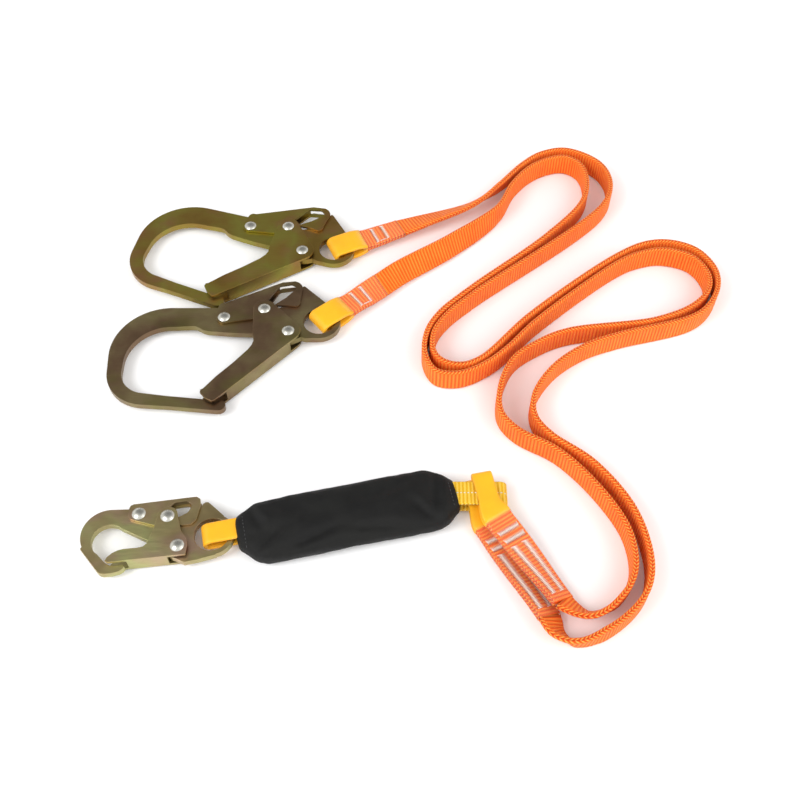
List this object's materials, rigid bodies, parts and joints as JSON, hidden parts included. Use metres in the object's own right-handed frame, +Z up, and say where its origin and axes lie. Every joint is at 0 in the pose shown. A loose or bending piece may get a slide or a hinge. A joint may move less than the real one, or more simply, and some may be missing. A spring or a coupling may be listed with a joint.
{
  "type": "shock absorbing lanyard",
  "caption": "Fall arrest lanyard laid in curves: large gated hooks on webbing legs, an energy absorber pouch and a snap hook.",
  "frame": {"origin": "on the floor, under the middle of the box round the hooks, the pouch and the sewn ends", "axes": "+Z up from the floor, +X from the hooks towards the legs' loops, +Y from the pouch towards the large hooks"},
  "size_m": [0.6027, 0.5749, 0.0283],
  "materials": {
    "hook_steel": "yellow zinc plating, olive and gold",
    "small_hook_steel": "pale yellow zinc plating",
    "rivets": "bright, domed",
    "springs": "drawn wire",
    "leg_webbing": "ribbed woven webbing, bright orange",
    "loop_webbing": "ribbed woven webbing, golden yellow",
    "absorber_webbing": "woven webbing",
    "wear_sleeves": "smooth tubular sleeve, golden yellow",
    "shrink_sleeves": "clear glossy film",
    "stitching": "white thread",
    "cover": "black woven fabric"
  },
  "bodies": {
    "absorber": {"leg_a_webbing": "leg_webbing", "leg_a_hook_eye": "leg_webbing", "leg_a_hook_wear_sleeve": "wear_sleeves", "leg_a_hook_shrink_sleeve": "shrink_sleeves", "leg_a_hook_stitching": "stitching", "leg_a_pack_eye": "leg_webbing", "leg_a_pack_wear_sleeve": "wear_sleeves", "leg_a_pack_shrink_sleeve": "shrink_sleeves", "leg_a_pack_stitching": "stitching", "leg_b_webbing": "leg_webbing", "leg_b_hook_eye": "leg_webbing", "leg_b_hook_wear_sleeve": "wear_sleeves", "leg_b_hook_shrink_sleeve": "shrink_sleeves", "leg_b_hook_stitching": "stitching", "leg_b_pack_eye": "leg_webbing", "leg_b_pack_wear_sleeve": "wear_sleeves", "leg_b_pack_shrink_sleeve": "shrink_sleeves", "leg_b_pack_stitching": "stitching", "absorber_cover": "cover", "tear_webbing": "absorber_webbing", "backup_strap": "absorber_webbing", "snap_hook_loop": "loop_webbing", "snap_hook_wear_sleeve": "wear_sleeves", "leg_loop": "loop_webbing"},
    "snap_hook_frame": {"snap_hook_body": "small_hook_steel", "snap_hook_gate_rivet": "rivets", "snap_hook_lever_rivet": "rivets", "snap_hook_gate_spring": "springs"},
    "snap_hook_gate": {"snap_hook_gate": "small_hook_steel", "snap_hook_catch_pin": "rivets"},
    "snap_hook_lever": {"snap_hook_lock_lever": "small_hook_steel"},
    "hook_a_frame": {"hook_a_body": "hook_steel", "hook_a_gate_rivet": "rivets", "hook_a_lever_rivet": "rivets", "hook_a_gate_spring": "springs", "hook_a_lever_spring": "springs"},
    "hook_a_gate": {"hook_a_gate": "hook_steel", "hook_a_catch_pin": "rivets"},
    "hook_a_lever": {"hook_a_lock_lever": "hook_steel"},
    "hook_b_frame": {"hook_b_body": "hook_steel", "hook_b_gate_rivet": "rivets", "hook_b_lever_rivet": "rivets", "hook_b_gate_spring": "springs", "hook_b_lever_spring": "springs"},
    "hook_b_gate": {"hook_b_gate": "hook_steel", "hook_b_catch_pin": "rivets"},
    "hook_b_lever": {"hook_b_lock_lever": "hook_steel"}
  },
  "joints": [
    {"name": "snap_hook_swivel", "type": "hinge", "parent": "absorber", "child": "snap_hook_frame", "pos_m": [-0.094, -0.1558, 0.01095], "axis": [0, 0, 1], "range_deg": [0, 20]},
    {"name": "snap_hook_gate_hinge", "type": "hinge", "parent": "snap_hook_frame", "child": "snap_hook_gate", "pos_m": [-0.1215, -0.1688, 0.01095], "axis": [0, 0, 1], "range_deg": [-30, 0], "stiffness_Nm_per_rad": 0.15, "springref_deg": 5.73},
    {"name": "snap_hook_lever_hinge", "type": "hinge", "parent": "snap_hook_frame", "child": "snap_hook_lever", "pos_m": [-0.159, -0.137, 0.01095], "axis": [0, 0, 1], "range_deg": [-10, 0]},
    {"name": "hook_a_swivel", "type": "hinge", "parent": "absorber", "child": "hook_a_frame", "pos_m": [-0.00045, 0.17512, 0.01095], "axis": [0, 0, 1], "range_deg": [-20, 0]},
    {"name": "hook_a_gate_hinge", "type": "hinge", "parent": "hook_a_frame", "child": "hook_a_gate", "pos_m": [-0.03288, 0.16872, 0.01095], "axis": [0, 0, 1], "range_deg": [-40, 0], "stiffness_Nm_per_rad": 0.4, "springref_deg": 5.73},
    {"name": "hook_a_lever_hinge", "type": "hinge", "parent": "hook_a_frame", "child": "hook_a_lever", "pos_m": [-0.0895, 0.2055, 0.01095], "axis": [0, 0, 1], "range_deg": [-12, 0]},
    {"name": "hook_b_swivel", "type": "hinge", "parent": "absorber", "child": "hook_b_frame", "pos_m": [-0.0118, 0.0784, 0.01095], "axis": [0, 0, 1], "range_deg": [0, 20]},
    {"name": "hook_b_gate_hinge", "type": "hinge", "parent": "hook_b_frame", "child": "hook_b_gate", "pos_m": [-0.0411, 0.0631, 0.01095], "axis": [0, 0, 1], "range_deg": [-40, 0], "stiffness_Nm_per_rad": 0.4, "springref_deg": 5.73},
    {"name": "hook_b_lever_hinge", "type": "hinge", "parent": "hook_b_frame", "child": "hook_b_lever", "pos_m": [-0.1058, 0.0824, 0.01095], "axis": [0, 0, 1], "range_deg": [-12, 0]}
  ],
  "couplings": [
    {"joint": "snap_hook_lever_hinge", "follows": "snap_hook_gate_hinge", "ratio": 0.3333},
    {"joint": "hook_a_lever_hinge", "follows": "hook_a_gate_hinge", "ratio": 0.3},
    {"joint": "hook_b_lever_hinge", "follows": "hook_b_gate_hinge", "ratio": 0.3}
  ]
}
